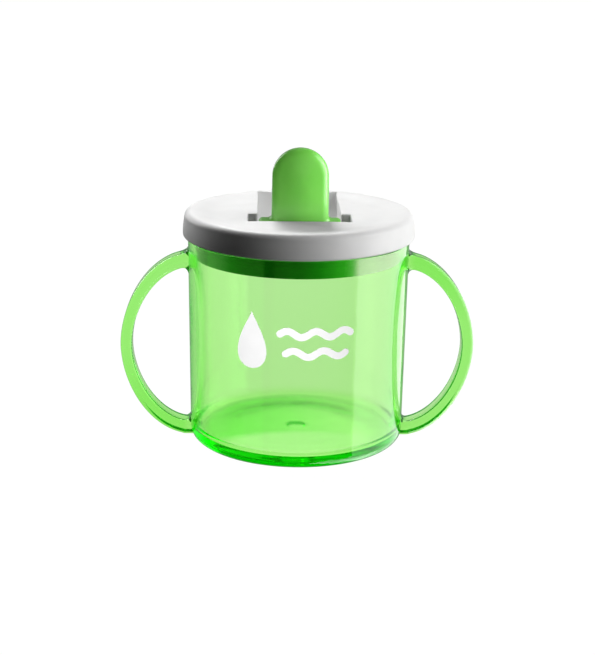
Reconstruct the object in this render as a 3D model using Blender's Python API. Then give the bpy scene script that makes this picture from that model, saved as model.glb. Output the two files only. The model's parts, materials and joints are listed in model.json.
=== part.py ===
"""Two-handled first sippy cup with a push-on lid and a flip-up spout.

Frame: origin at the centre of the cup's base, +Z up, handles along X,
the spout stands at the front (-Y) of the lid and folds back towards +Y.
Sizes are in millimetres; MM turns them into metres where vertices are made.
"""
import math

import bmesh
import bpy
from mathutils import Matrix, Vector

MM = 0.001

# ---------------------------------------------------------------- dimensions
TURNED_SEGMENTS = 56        # facets round the cup and the lid
BARREL_SEGMENTS = 32
PIN_SEGMENTS = 20
HOLE_SEGMENTS = 12
SHARP_ANGLE = 35.0          # degrees; edges steeper than this are shaded sharp

# cup, one moulding with its handles
CUP_FOOT_R = 35.70          # outer radius just above the bottom corner
CUP_DRAFT = 0.010           # growth of radius per millimetre of height
CUP_CORNER = 3.4            # outer bottom corner radius
CUP_WALL = 2.2
CUP_FLOOR_Z = 3.4           # inside floor
CUP_FLOOR_FILLET = 3.2      # between floor and wall
CUP_SHOULDER_Z = 68.3       # the wall steps in here to pass under the lid skirt
CUP_SHOULDER_EDGE = (0.15, 0.4)     # edge break: across the ledge, down the wall
CUP_NECK_R = 35.72
CUP_NECK_RISE = 0.1         # slope of the ledge up to the neck
CUP_TOP_Z = 74.6
CUP_RIM_EDGE = (0.45, 0.5)  # rim chamfers: width, height
FOOT_IN_R = 29.6            # inner edge of the flat foot ring
FOOT_SLOPE = 12.0           # width of the gentle slope up to the recess under the floor
FOOT_RECESS = 0.35
GATE_R = 2.8                # small recess at the moulding gate, under the floor
GATE_DEPTH = 0.5
GATE_TAPER = 0.4

# handles
HANDLE_X0 = 36.0            # plane where the loop's centre line meets the wall
HANDLE_REACH = 21.0         # reach of the centre line beyond that plane
HANDLE_HALF_HEIGHT = 28.95  # half height of the centre line
HANDLE_MID_Z = 31.55
HANDLE_POWER = 1.85         # superellipse power of the loop
HANDLE_STEPS = 22
HANDLE_THICKNESS = 3.8      # seen from the front, at the widest reach
HANDLE_SWELL = 0.9          # how much thicker the bar is at its roots
HANDLE_SWELL_POWER = 2.5    # how late the swell sets in
HANDLE_WIDTH = 8.0          # front to back
HANDLE_EDGE = 1.6           # edge radius
HANDLE_ROOT = 2.4           # fillet at the wall
HANDLE_LOOP_X = 37.9        # the loop's own stations start beyond this x
TOP_ROOT_X = (35.0, 36.35, 36.6, 37.0, 37.5)        # level stations, outwards
LOW_ROOT_X = (37.3, 36.7, 36.3, 36.0, 33.5)         # level stations, inwards

# lid, push-on
LID_R = 38.0
LID_TOP_R = 37.5
LID_CREST_Z = 77.1
LID_SHOULDER = 2.1          # radius of the rounded outer top edge
LID_SKIRT_Z = 68.9
LID_SKIRT_IN_R = 36.25
LID_SKIRT_IN_EDGE = (0.3, 0.4)      # width, height
LID_GROOVE_Z = 75.0         # underside of the plate above the cup's rim
LID_PLATE_Z = 74.9          # underside of the plate inside the plug
LID_PLATE_CORNER = 0.8      # chamfer between plate and plug
# (radius, z) from the middle over the shallow dish to the raised rim
LID_TOP_OUTLINE = [
    (0.0, 76.6), (21.0, 76.55), (27.5, 76.25),
    (31.0, 76.55), (34.0, 77.0), (35.0, LID_CREST_Z),
]
# (radius, z) down the outside of the skirt
LID_SKIRT_OUTLINE = [
    (LID_R - 0.05, 72.5), (LID_R, 70.4),
    (LID_R - 0.25, LID_SKIRT_Z + 0.25), (LID_R - 0.8, LID_SKIRT_Z),
]
PLUG_R = 33.60
PLUG_IN_R = 32.1
PLUG_Z = 62.4
PLUG_OUT_EDGE = (0.4, 0.6)  # width, height
PLUG_IN_EDGE = (0.3, 0.4)
BEAD_HEIGHT = 0.22          # how far the plug's beads stand out
BEAD_Z = (69.2, 66.0)
BEAD_HALF_ROOT = 0.6
BEAD_HALF_CREST = 0.15

# hinge of the spout, its axis along X
AXIS_Y = -9.5
AXIS_Z = 71.6
BARREL_R = 5.0
BARREL_HALF = 13.2
BARREL_EDGE = 1.0
PIN_R = 2.0
PIN_END = 17.6
SEAT_GAP = 0.35             # running gap round the barrel
BORE_GAP = 0.30             # running gap round the pins and at their ends

# recess the spout folds into
RECESS_HALF = 13.6
RECESS_FLOOR_Z = 68.2
RAMP_Y0 = 19.8
RAMP_Y1 = 30.8
RAMP_Z1 = 76.2
RAMP_EASE = 1.2             # reach of the flat that eases the foot of the ramp
RAMP_LIP = (0.4, 0.6)       # steeper lip at the top of the ramp: run, rise
SHELL = 1.3                 # thickness of the moulded trough
TROUGH_TOP_Z = LID_PLATE_Z + 0.6    # overlaps the plate
POCKET_HALF = 16.3
POCKET_Y = (AXIS_Y - BARREL_R - SEAT_GAP, -4.0)
POCKET_FLOOR_Z = 67.9
CHEEK_HALF = 19.3
CUT_TOP_Z = 80.0            # cuts from above start clear of the lid
CUT_LOW_Z = 60.0            # cuts from below start clear of the hinge
PORT_TOP_Z = 70.0
HOLE_MARGIN = 0.2           # how much the lid's port and vents exceed the spout's

# spout
SPOUT_HALF_TOP = 9.0
SPOUT_HALF_BASE = 9.2
SPOUT_BASE_Z = AXIS_Z - 0.5
SPOUT_TOP_Z = 99.4
SPOUT_ARC_STEPS = 16
SPOUT_FRONT = 4.9           # front face, distance ahead of the hinge axis
SPOUT_T_BASE = 8.0          # thickness at the hinge axis
SPOUT_T_TIP = 6.4
SPOUT_EDGE = 1.8
CHANNEL_HALF = 5.0
CHANNEL_Y = (-12.3, -9.7)
CHANNEL_TOP_Z = 95.0
OUTLET_R = 0.85
OUTLET_X = (-3.4, 0.0, 3.4)
OUTLET_TILT = 25.0          # degrees, leaning back
OUTLET_LENGTH = 10.0
OUTLET_OVERLAP = 1.0        # outlets start this far below the channel's top
VENT_R = 0.7
VENT_X = 10.9
VENT_TILT = 35.0            # degrees, leaning back
VENT_LENGTH = 14.0          # through the barrel
LID_VENT_LENGTH = 8.0
LID_VENT_SLIDE = -7.0       # from the hinge axis down to the middle of the lid's vent


# ------------------------------------------------------------------- helpers
def clear_scene():
    for obj in list(bpy.data.objects):
        bpy.data.objects.remove(obj, do_unlink=True)


def make_material(name, colour, roughness, transmission=0.0):
    material = bpy.data.materials.new(name)
    material.use_nodes = True
    inputs = material.node_tree.nodes["Principled BSDF"].inputs
    inputs["Base Color"].default_value = colour
    inputs["Roughness"].default_value = roughness
    inputs["Metallic"].default_value = 0.0
    inputs["Transmission Weight"].default_value = transmission
    return material


def metres(x, y, z):
    return (x * MM, y * MM, z * MM)


def link(name, solid, material=None):
    """Turn a bmesh into a scene object."""
    bmesh.ops.recalc_face_normals(solid, faces=solid.faces[:])
    mesh = bpy.data.meshes.new(name)
    solid.to_mesh(mesh)
    solid.free()
    obj = bpy.data.objects.new(name, mesh)
    bpy.context.scene.collection.objects.link(obj)
    if material is not None:
        mesh.materials.append(material)
    return obj


def combine(target, operation, name, solid):
    """Join the solid to the target or cut it away, as a hidden boolean tool."""
    tool = link(name, solid)
    tool.hide_render = True
    tool.display_type = "WIRE"
    modifier = target.modifiers.new(operation.lower() + "_" + name, "BOOLEAN")
    modifier.operation = operation
    modifier.solver = "EXACT"
    modifier.object = tool


def arc(centre_x, centre_z, radius, start, end, steps):
    """steps + 1 points on an arc, angles in degrees."""
    points = []
    for i in range(steps + 1):
        angle = math.radians(start + (end - start) * i / steps)
        points.append((centre_x + radius * math.cos(angle), centre_z + radius * math.sin(angle)))
    return points


def turned(profile, segments):
    """Revolve (radius, z) points about Z; both ends lie on the axis."""
    solid = bmesh.new()
    rings = []
    for radius, z in profile:
        if radius < 1e-6:
            rings.append([solid.verts.new(metres(0.0, 0.0, z))])
            continue
        ring = []
        for k in range(segments):
            angle = 2.0 * math.pi * k / segments
            x, y = radius * math.cos(angle), radius * math.sin(angle)
            ring.append(solid.verts.new(metres(x, y, z)))
        rings.append(ring)
    for ring, following in zip(rings, rings[1:]):
        for k in range(segments):
            n = (k + 1) % segments
            if len(ring) == 1:
                solid.faces.new((ring[0], following[k], following[n]))
            elif len(following) == 1:
                solid.faces.new((ring[k], following[0], ring[n]))
            else:
                solid.faces.new((ring[k], following[k], following[n], ring[n]))
    return solid


def close_between(solid, first, second):
    """Cap two matching loops of vertices and wall the gap; returns the caps."""
    caps = [solid.faces.new(first), solid.faces.new(list(reversed(second)))]
    for k in range(len(first)):
        n = (k + 1) % len(first)
        solid.faces.new((first[k], second[k], second[n], first[n]))
    return caps


def prism_x(outline, x0, x1):
    """Extrude a closed (y, z) outline along X."""
    solid = bmesh.new()
    loops = [[solid.verts.new(metres(x, y, z)) for y, z in outline] for x in (x0, x1)]
    close_between(solid, *loops)
    return solid


def box(low, high):
    (x0, y0, z0), (x1, y1, z1) = low, high
    return prism_x([(y0, z0), (y1, z0), (y1, z1), (y0, z1)], x0, x1)


def rod(radius, length, matrix, segments):
    """Cylinder centred on the matrix's origin, along its Z."""
    solid = bmesh.new()
    bmesh.ops.create_cone(solid, cap_ends=True, cap_tris=False, segments=segments,
                          radius1=radius * MM, radius2=radius * MM, depth=length * MM,
                          matrix=matrix)
    return solid


def hinge_frame():
    """Frame on the hinge axis with its Z along X."""
    place = Matrix.Translation(metres(0.0, AXIS_Y, AXIS_Z))
    return place @ Matrix.Rotation(math.pi / 2, 4, "Y")


def leaning_frame(x, y, z, tilt, slide=0.0):
    """Frame whose Z leans back by tilt degrees, then slides along that Z."""
    lean = Matrix.Rotation(-math.radians(tilt), 4, "X")
    return Matrix.Translation(metres(x, y, z)) @ lean @ Matrix.Translation(metres(0, 0, slide))


# ----------------------------------------------------------------------- cup
def cup_radius(z):
    return CUP_FOOT_R + CUP_DRAFT * (z - CUP_CORNER)


def cup_profile():
    """From the middle of the floor, up the inside, over the rim, down the outside."""
    fillet_z = CUP_FLOOR_Z + CUP_FLOOR_FILLET
    fillet_r = cup_radius(fillet_z) - CUP_WALL - CUP_FLOOR_FILLET
    shoulder_r = cup_radius(CUP_SHOULDER_Z)
    inner_r = shoulder_r - CUP_WALL
    rim_width, rim_height = CUP_RIM_EDGE
    ledge, drop = CUP_SHOULDER_EDGE
    gate_z = FOOT_RECESS + GATE_DEPTH
    return [
        (0.0, CUP_FLOOR_Z),
        *arc(fillet_r, fillet_z, CUP_FLOOR_FILLET, -90, 0, steps=4),
        (inner_r, CUP_SHOULDER_Z),
        (inner_r, CUP_TOP_Z - rim_height),
        (inner_r + rim_width, CUP_TOP_Z),
        (CUP_NECK_R - rim_width, CUP_TOP_Z),
        (CUP_NECK_R, CUP_TOP_Z - rim_height),
        (CUP_NECK_R, CUP_SHOULDER_Z + CUP_NECK_RISE),
        (shoulder_r - ledge, CUP_SHOULDER_Z),
        (shoulder_r, CUP_SHOULDER_Z - drop),
        *arc(CUP_FOOT_R - CUP_CORNER, CUP_CORNER, CUP_CORNER, 0, -90, steps=4),
        (FOOT_IN_R, 0.0),
        (FOOT_IN_R - FOOT_SLOPE / 2, FOOT_RECESS / 2),
        (FOOT_IN_R - FOOT_SLOPE, FOOT_RECESS),
        (GATE_R, FOOT_RECESS),
        (GATE_R - GATE_TAPER, gate_z),
        (0.0, gate_z),
    ]


def handle_section(thickness):
    """Rounded rectangle about the centre line, as (across the loop, front to back)."""
    across = thickness / 2 - HANDLE_EDGE
    depth = HANDLE_WIDTH / 2 - HANDLE_EDGE
    points = []
    for sign_x, sign_y, start in ((1, 1, 0), (-1, 1, 90), (-1, -1, 180), (1, -1, 270)):
        points += arc(sign_x * across, sign_y * depth, HANDLE_EDGE, start, start + 90, steps=2)
    return points


def loop_point(degrees):
    """(x, z) on the superellipse, from 90 degrees (top root) to -90 (low root)."""
    angle = math.radians(degrees)
    power = 2.0 / HANDLE_POWER
    out, rise = math.cos(angle), math.sin(angle)
    return Vector((HANDLE_X0 + HANDLE_REACH * out ** power,
                   HANDLE_MID_Z + HANDLE_HALF_HEIGHT * math.copysign(abs(rise) ** power, rise)))


def handle_line():
    """Centre line of the bar: level top root, loop, level low root."""
    loop = [loop_point(90.0 - 180.0 * i / HANDLE_STEPS) for i in range(HANDLE_STEPS + 1)]
    top_z, low_z = loop[0].y, loop[-1].y
    return ([Vector((x, top_z)) for x in TOP_ROOT_X]
            + [point for point in loop if point.x > HANDLE_LOOP_X]
            + [Vector((x, low_z)) for x in LOW_ROOT_X])


def root_flare(distance):
    """Extra half thickness of the bar near the wall, a quarter-round fillet."""
    distance = min(max(distance, 0.0), HANDLE_ROOT)
    return HANDLE_ROOT - math.sqrt(HANDLE_ROOT ** 2 - (HANDLE_ROOT - distance) ** 2)


def handle(side):
    """Bar swept along the centre line; side is 1 for +X, -1 for -X."""
    solid = bmesh.new()
    line = handle_line()
    rings = []
    for i, point in enumerate(line):
        before = line[max(i - 1, 0)]
        after = line[min(i + 1, len(line) - 1)]
        tangent = (after - before).normalized()
        normal = Vector((-tangent.y, tangent.x))
        flare = root_flare(point.x - cup_radius(point.y))
        offset_z = point.y - HANDLE_MID_Z
        swell = (abs(offset_z) / HANDLE_HALF_HEIGHT) ** HANDLE_SWELL_POWER
        ring = []
        for across, depth in handle_section(HANDLE_THICKNESS + HANDLE_SWELL * swell):
            flare_across = math.copysign(flare, across)
            if offset_z < 0 and normal.y * across < 0:
                flare_across = 0.0      # the lower edge stays clear of the table
            if offset_z > 0 and normal.y * across > 0:
                flare_across *= 0.5     # the top edge flares half as much
            spot = point + normal * (across + flare_across)
            y = depth + math.copysign(flare, depth)
            ring.append(solid.verts.new(metres(side * spot.x, y, spot.y)))
        rings.append(ring)
    for ring, following in zip(rings, rings[1:]):
        for k in range(len(ring)):
            n = (k + 1) % len(ring)
            solid.faces.new((ring[k], ring[n], following[n], following[k]))
    solid.faces.new(rings[0])
    solid.faces.new(rings[-1])
    return solid


def build_cup(material):
    cup = link("cup_body", turned(cup_profile(), TURNED_SEGMENTS), material)
    for side, name in ((1, "right_handle_tool"), (-1, "left_handle_tool")):
        combine(cup, "UNION", name, handle(side))
    return cup


# ----------------------------------------------------------------------- lid
def lid_profile():
    """From the middle of the top, out over the skirt, up the groove, round the plug."""
    skirt_width, skirt_height = LID_SKIRT_IN_EDGE
    points = LID_TOP_OUTLINE + arc(LID_TOP_R - LID_SHOULDER, LID_CREST_Z - LID_SHOULDER,
                                   LID_SHOULDER, 80, 5, steps=3)
    points += LID_SKIRT_OUTLINE
    points += [
        (LID_SKIRT_IN_R + skirt_width, LID_SKIRT_Z),
        (LID_SKIRT_IN_R, LID_SKIRT_Z + skirt_height),
        (LID_SKIRT_IN_R, LID_GROOVE_Z),
        (PLUG_R, LID_GROOVE_Z),
    ]
    for z in BEAD_Z:
        points += [
            (PLUG_R, z + BEAD_HALF_ROOT),
            (PLUG_R + BEAD_HEIGHT, z + BEAD_HALF_CREST),
            (PLUG_R + BEAD_HEIGHT, z - BEAD_HALF_CREST),
            (PLUG_R, z - BEAD_HALF_ROOT),
        ]
    return points + [
        (PLUG_R, PLUG_Z + PLUG_OUT_EDGE[1]),
        (PLUG_R - PLUG_OUT_EDGE[0], PLUG_Z),
        (PLUG_IN_R + PLUG_IN_EDGE[0], PLUG_Z),
        (PLUG_IN_R, PLUG_Z + PLUG_IN_EDGE[1]),
        (PLUG_IN_R, LID_PLATE_Z - LID_PLATE_CORNER),
        (PLUG_IN_R - LID_PLATE_CORNER, LID_PLATE_Z),
        (0.0, LID_PLATE_Z),
    ]


def recess_outline(offset, top):
    """(y, z) of the trough: barrel seat, level floor and ramp, grown by offset."""
    radius = BARREL_R + SEAT_GAP + offset
    floor = RECESS_FLOOR_Z - offset
    floor_angle = math.degrees(math.asin((AXIS_Z - floor) / radius))
    slope = math.atan2(RAMP_Z1 - RECESS_FLOOR_Z, RAMP_Y1 - RAMP_Y0)
    corner = RAMP_Y0 + offset * math.tan(slope / 2)
    points = [(AXIS_Y - radius, top), (AXIS_Y - radius, AXIS_Z)]
    points += arc(AXIS_Y, AXIS_Z, radius, 180, 360 - floor_angle, steps=7)[1:]
    # the corner between floor and ramp is eased with a short flat
    points.append((corner - RAMP_EASE, floor))
    points.append((corner + RAMP_EASE * math.cos(slope), floor + RAMP_EASE * math.sin(slope)))
    if offset == 0.0:
        run, rise = RAMP_LIP
        points += [(RAMP_Y1, RAMP_Z1), (RAMP_Y1 + run, RAMP_Z1 + rise), (RAMP_Y1 + run, top)]
    else:
        points.append((corner + (top - floor) / math.tan(slope), top))
    return points


def build_lid(material):
    lid = link("lid", turned(lid_profile(), TURNED_SEGMENTS), material)

    # material round the recess and the pin bores
    trough_half = RECESS_HALF + SHELL
    combine(lid, "UNION", "trough_tool",
            prism_x(recess_outline(SHELL, TROUGH_TOP_Z), -trough_half, trough_half))
    combine(lid, "UNION", "cheek_tool",
            box((-CHEEK_HALF, POCKET_Y[0] - SHELL, POCKET_FLOOR_Z - SHELL),
                (CHEEK_HALF, POCKET_Y[1] + SHELL, TROUGH_TOP_Z)))

    # recess, wider pocket at the hinge, pin bores
    combine(lid, "DIFFERENCE", "recess_cut",
            prism_x(recess_outline(0.0, CUT_TOP_Z), -RECESS_HALF, RECESS_HALF))
    combine(lid, "DIFFERENCE", "pocket_cut",
            box((-POCKET_HALF, POCKET_Y[0], POCKET_FLOOR_Z),
                (POCKET_HALF, POCKET_Y[1], CUT_TOP_Z)))
    combine(lid, "DIFFERENCE", "pin_bore_cut",
            rod(PIN_R + BORE_GAP, 2 * (PIN_END + BORE_GAP), hinge_frame(), PIN_SEGMENTS))

    # port under the spout's channel, vent beside it
    port_half = CHANNEL_HALF + HOLE_MARGIN
    combine(lid, "DIFFERENCE", "port_cut",
            box((-port_half, CHANNEL_Y[0] - HOLE_MARGIN, CUT_LOW_Z),
                (port_half, CHANNEL_Y[1] + HOLE_MARGIN, PORT_TOP_Z)))
    vent = leaning_frame(VENT_X, AXIS_Y, AXIS_Z, VENT_TILT, LID_VENT_SLIDE)
    combine(lid, "DIFFERENCE", "vent_cut",
            rod(VENT_R + HOLE_MARGIN, LID_VENT_LENGTH, vent, HOLE_SEGMENTS))
    return lid


# --------------------------------------------------------------------- spout
def spout_outline():
    """(x, z) of the blade from the front: straight flanks and a half-round top."""
    return [
        (SPOUT_HALF_BASE, SPOUT_BASE_Z),
        *arc(0.0, SPOUT_TOP_Z - SPOUT_HALF_TOP, SPOUT_HALF_TOP, 0, 180, SPOUT_ARC_STEPS),
        (-SPOUT_HALF_BASE, SPOUT_BASE_Z),
    ]


def blade():
    """Flat upright front, back tapering to the tip, rounded all round but the base."""
    solid = bmesh.new()
    front_y = AXIS_Y - SPOUT_FRONT
    front, back = [], []
    for x, z in spout_outline():
        height = max((z - AXIS_Z) / (SPOUT_TOP_Z - AXIS_Z), 0.0)
        thickness = SPOUT_T_BASE + (SPOUT_T_TIP - SPOUT_T_BASE) * height
        front.append(solid.verts.new(metres(x, front_y, z)))
        back.append(solid.verts.new(metres(x, front_y + thickness, z)))
    caps = close_between(solid, front, back)
    bmesh.ops.recalc_face_normals(solid, faces=solid.faces[:])
    base = min(vert.co.z for vert in solid.verts)
    rim = [edge for cap in caps for edge in cap.edges
           if not all(abs(vert.co.z - base) < 1e-7 for vert in edge.verts)]
    bmesh.ops.bevel(solid, geom=rim, offset=SPOUT_EDGE * MM, offset_type="OFFSET",
                    segments=3, profile=0.5, affect="EDGES", clamp_overlap=True)
    return solid


def barrel():
    edge = arc(BARREL_R - BARREL_EDGE, BARREL_HALF - BARREL_EDGE, BARREL_EDGE, 0, 90, steps=2)
    mirrored = [(radius, -z) for radius, z in reversed(edge)]
    profile = [(0.0, -BARREL_HALF)] + mirrored + edge + [(0.0, BARREL_HALF)]
    solid = turned(profile, BARREL_SEGMENTS)
    bmesh.ops.transform(solid, matrix=hinge_frame(), verts=solid.verts[:])
    return solid


def build_spout(material):
    """The spout hangs from an empty on the hinge axis, so it turns about its pins."""
    pivot = bpy.data.objects.new("spout_pivot", None)
    pivot.location = metres(0.0, AXIS_Y, AXIS_Z)
    bpy.context.scene.collection.objects.link(pivot)
    spout = link("spout", barrel(), material)
    spout.data.transform(Matrix.Translation(-pivot.location))
    spout.parent = pivot

    combine(spout, "UNION", "blade_tool", blade())
    combine(spout, "UNION", "pin_tool", rod(PIN_R, 2 * PIN_END, hinge_frame(), PIN_SEGMENTS))
    combine(spout, "DIFFERENCE", "channel_cut",
            box((-CHANNEL_HALF, CHANNEL_Y[0], CUT_LOW_Z),
                (CHANNEL_HALF, CHANNEL_Y[1], CHANNEL_TOP_Z)))
    for i, x in enumerate(OUTLET_X):
        outlet = leaning_frame(x, sum(CHANNEL_Y) / 2, CHANNEL_TOP_Z - OUTLET_OVERLAP,
                               OUTLET_TILT, OUTLET_LENGTH / 2)
        combine(spout, "DIFFERENCE", f"outlet_cut_{i}",
                rod(OUTLET_R, OUTLET_LENGTH, outlet, HOLE_SEGMENTS))
    vent = leaning_frame(VENT_X, AXIS_Y, AXIS_Z, VENT_TILT)
    combine(spout, "DIFFERENCE", "vent_drill", rod(VENT_R, VENT_LENGTH, vent, HOLE_SEGMENTS))
    return spout


def main():
    clear_scene()
    clear_green = make_material("clear_green_plastic", colour=(0.30, 0.86, 0.12, 0.45),
                                roughness=0.08, transmission=0.9)
    white = make_material("white_plastic", colour=(0.83, 0.83, 0.82, 1.0), roughness=0.35)
    solid_green = make_material("solid_green_plastic", colour=(0.14, 0.50, 0.06, 1.0),
                                roughness=0.38)
    for obj in (build_cup(clear_green), build_lid(white), build_spout(solid_green)):
        obj.data.shade_smooth()
        obj.data.set_sharp_from_angle(angle=math.radians(SHARP_ANGLE))
    bpy.context.view_layer.update()


main()
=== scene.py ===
"""Two-handled clear green cup with a white push-in lid and a solid green flip spout.

The cup stands on z = 0 about the Z axis. Its printed front faces -Y and its handles lie along X.
The spout is modelled upright, hinged on a line parallel to X in the front half of the lid.
Pieces are sized in millimetres; Blender, the shaders and the lights use metres.
"""
import json
import math

import bmesh
import bpy
from mathutils import Matrix, Vector


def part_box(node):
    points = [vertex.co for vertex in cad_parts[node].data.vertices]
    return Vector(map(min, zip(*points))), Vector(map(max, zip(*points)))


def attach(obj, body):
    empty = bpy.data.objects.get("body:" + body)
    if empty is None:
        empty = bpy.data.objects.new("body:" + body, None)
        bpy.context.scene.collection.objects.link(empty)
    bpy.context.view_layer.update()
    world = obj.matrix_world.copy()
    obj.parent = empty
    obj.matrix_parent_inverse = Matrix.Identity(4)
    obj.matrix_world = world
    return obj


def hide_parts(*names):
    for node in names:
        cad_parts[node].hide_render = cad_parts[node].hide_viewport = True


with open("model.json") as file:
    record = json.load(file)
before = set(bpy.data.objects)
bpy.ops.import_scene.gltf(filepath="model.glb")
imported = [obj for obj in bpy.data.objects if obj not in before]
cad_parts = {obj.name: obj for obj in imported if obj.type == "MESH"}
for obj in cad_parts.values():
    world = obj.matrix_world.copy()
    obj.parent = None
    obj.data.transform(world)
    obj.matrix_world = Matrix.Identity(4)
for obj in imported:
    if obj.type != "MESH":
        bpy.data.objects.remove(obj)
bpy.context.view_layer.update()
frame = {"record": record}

MM = 0.001
ABOVE_Z = 80.0               # cutting tools run from below the lid to above it
BELOW_Z = 60.0

HINGE = next(j for j in frame["record"]["behaviour"]["joints"] if j["name"] == "spout_flip")
AXIS_Y = HINGE["pos_m"][1] / MM
AXIS_Z = HINGE["pos_m"][2] / MM


# ---------------------------------------------------------------- mesh helpers
def place(name, data):
    obj = bpy.data.objects.new(name, data)
    bpy.context.scene.collection.objects.link(obj)
    return obj


def link(name, bm):
    """Turn a bmesh into an object in the scene."""
    bmesh.ops.recalc_face_normals(bm, faces=bm.faces[:])
    mesh = bpy.data.meshes.new(name)
    bm.to_mesh(mesh)
    bm.free()
    return place(name, mesh)


def discard(obj):
    mesh = obj.data
    bpy.data.objects.remove(obj, do_unlink=True)
    bpy.data.meshes.remove(mesh)


def unit(value):
    return min(max(value, 0.0), 1.0)


def arc(cx, cy, radius, start, end, steps):
    """Points on an arc, angles in degrees, both ends included."""
    angles = [math.radians(start + (end - start) * i / steps) for i in range(steps + 1)]
    return [(cx + radius * math.cos(a), cy + radius * math.sin(a)) for a in angles]


def between(a, b, steps):
    """Even points from a to b, both left out."""
    return [(a[0] + (b[0] - a[0]) * i / steps, a[1] + (b[1] - a[1]) * i / steps)
            for i in range(1, steps)]


def flare(distance, radius):
    """Extra thickness that a concave fillet gives at a distance from the wall."""
    distance = min(max(distance, 0.0), radius)
    return radius - math.sqrt(max(radius ** 2 - (radius - distance) ** 2, 0.0))


def turned(profile, segments):
    """Revolve (radius, z) points about the Z axis."""
    bm = bmesh.new()
    rings = []
    for r, z in profile:
        if r < 1e-6:
            rings.append([bm.verts.new((0.0, 0.0, z * MM))])
            continue
        angles = [2 * math.pi * k / segments for k in range(segments)]
        rings.append([bm.verts.new((r * math.cos(a) * MM, r * math.sin(a) * MM, z * MM))
                      for a in angles])
    for low, high in zip(rings, rings[1:]):
        for k in range(segments):
            n = (k + 1) % segments
            if len(low) == 1:
                bm.faces.new((low[0], high[k], high[n]))
            elif len(high) == 1:
                bm.faces.new((low[k], high[0], low[n]))
            else:
                bm.faces.new((low[k], high[k], high[n], low[n]))
    return bm


def loft(rings):
    """Skin closed rings of equal length and cap both ends."""
    bm = bmesh.new()
    rows = [[bm.verts.new(Vector(p) * MM) for p in ring] for ring in rings]
    count = len(rows[0])
    for a, b in zip(rows, rows[1:]):
        for k in range(count):
            n = (k + 1) % count
            bm.faces.new((a[k], a[n], b[n], b[k]))
    bm.faces.new(rows[0])
    bm.faces.new(rows[-1])
    return bm


def prism_x(outline, x0, x1):
    return loft([[(x, y, z) for y, z in outline] for x in (x0, x1)])


def box(lo, hi):
    outline = [(lo[1], lo[2]), (hi[1], lo[2]), (hi[1], hi[2]), (lo[1], hi[2])]
    return prism_x(outline, lo[0], hi[0])


def rod(radius, length, matrix, segments):
    bm = bmesh.new()
    bmesh.ops.create_cone(bm, cap_ends=True, cap_tris=False, segments=segments,
                          radius1=radius * MM, radius2=radius * MM, depth=length * MM,
                          matrix=matrix)
    return bm


def tilted(x, y, z, tilt):
    """Frame at a point whose Z axis leans towards +Y by tilt degrees."""
    return Matrix.Translation((x * MM, y * MM, z * MM)) \
        @ Matrix.Rotation(-math.radians(tilt), 4, "X")


def along_z(distance):
    return Matrix.Translation((0, 0, distance * MM))


def bake(obj):
    """Apply all modifiers."""
    bpy.context.view_layer.update()
    depsgraph = bpy.context.evaluated_depsgraph_get()
    mesh = bpy.data.meshes.new_from_object(obj.evaluated_get(depsgraph), depsgraph=depsgraph)
    old = obj.data
    obj.modifiers.clear()
    obj.data = mesh
    bpy.data.meshes.remove(old)
    mesh.name = obj.name


def cut(target, steps):
    """Apply (operation, bmesh) steps in order and remove the tools."""
    tools = []
    for i, (operation, bm) in enumerate(steps):
        tool = link("%s_tool_%d" % (target.name, i), bm)
        tools.append(tool)
        mod = target.modifiers.new("cut_%d" % i, "BOOLEAN")
        mod.operation = operation
        mod.solver = "EXACT"
        mod.object = tool
    bake(target)
    for tool in tools:
        discard(tool)


def weld(obj):
    """Merge slivers left by a cut and turn every face outwards."""
    bm = bmesh.new()
    bm.from_mesh(obj.data)
    bmesh.ops.remove_doubles(bm, verts=bm.verts[:], dist=2e-6)
    bmesh.ops.dissolve_degenerate(bm, edges=bm.edges[:], dist=1e-6)
    bmesh.ops.recalc_face_normals(bm, faces=bm.faces[:])
    bm.to_mesh(obj.data)
    bm.free()


def shade(obj, sharp_angle):
    obj.data.shade_smooth()
    obj.data.set_sharp_from_angle(angle=math.radians(sharp_angle))


def tidy(obj, sharp_angle):
    """Weld, then shade smooth with real edges kept."""
    weld(obj)
    shade(obj, sharp_angle)
    mod = obj.modifiers.new("even_normals", "WEIGHTED_NORMAL")
    mod.keep_sharp = True
    mod.weight = 50
    bake(obj)


# ------------------------------------------------------------------------- cup
BODY_SEGMENTS = 192          # shared by cup and lid

CUP_FOOT_R = 35.70           # outer radius at the top of the foot corner
CUP_DRAFT = 0.010            # radius gained per unit of height
CUP_CORNER = 3.4             # outer corner at the foot
CUP_WALL = 2.2
CUP_FLOOR_Z = 3.4
CUP_FLOOR_CORNER = 3.2       # inner corner at the floor
CUP_SHOULDER_Z = 68.3        # step in to the neck
CUP_NECK_R = 35.72
CUP_NECK_MID_Z = 71.5
CUP_RIM_ROUND = 0.45
CUP_TOP_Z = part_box("cup_body")[1][2] / MM

FOOT_RING_R = 29.6           # inner edge of the ring the cup stands on
FOOT_SLOPE = 12.0            # width of the slope up into the recess
FOOT_RECESS = 0.35
# dimple in the middle of the underside: radius, height above the recess
DIMPLE = ((3.2, 0.0), (2.95, 0.06), (2.75, 0.25), (2.6, 0.44), (2.35, 0.5), (0.0, 0.5))

HANDLE_X0 = 36.0             # centre, reach and half height of the superellipse
HANDLE_REACH = 21.0
HANDLE_HALF_HEIGHT = 28.95
HANDLE_MID_Z = 31.55
HANDLE_POWER = 1.85
HANDLE_STEPS = 96
HANDLE_START_X = 38.1        # the superellipse is used outside this x
HANDLE_THICK = 3.8
HANDLE_SWELL = 0.9           # extra thickness at the roots
HANDLE_WIDTH = 8.0
HANDLE_EDGE = 1.6
HANDLE_ROOT = 2.4            # fillet against the wall
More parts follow.
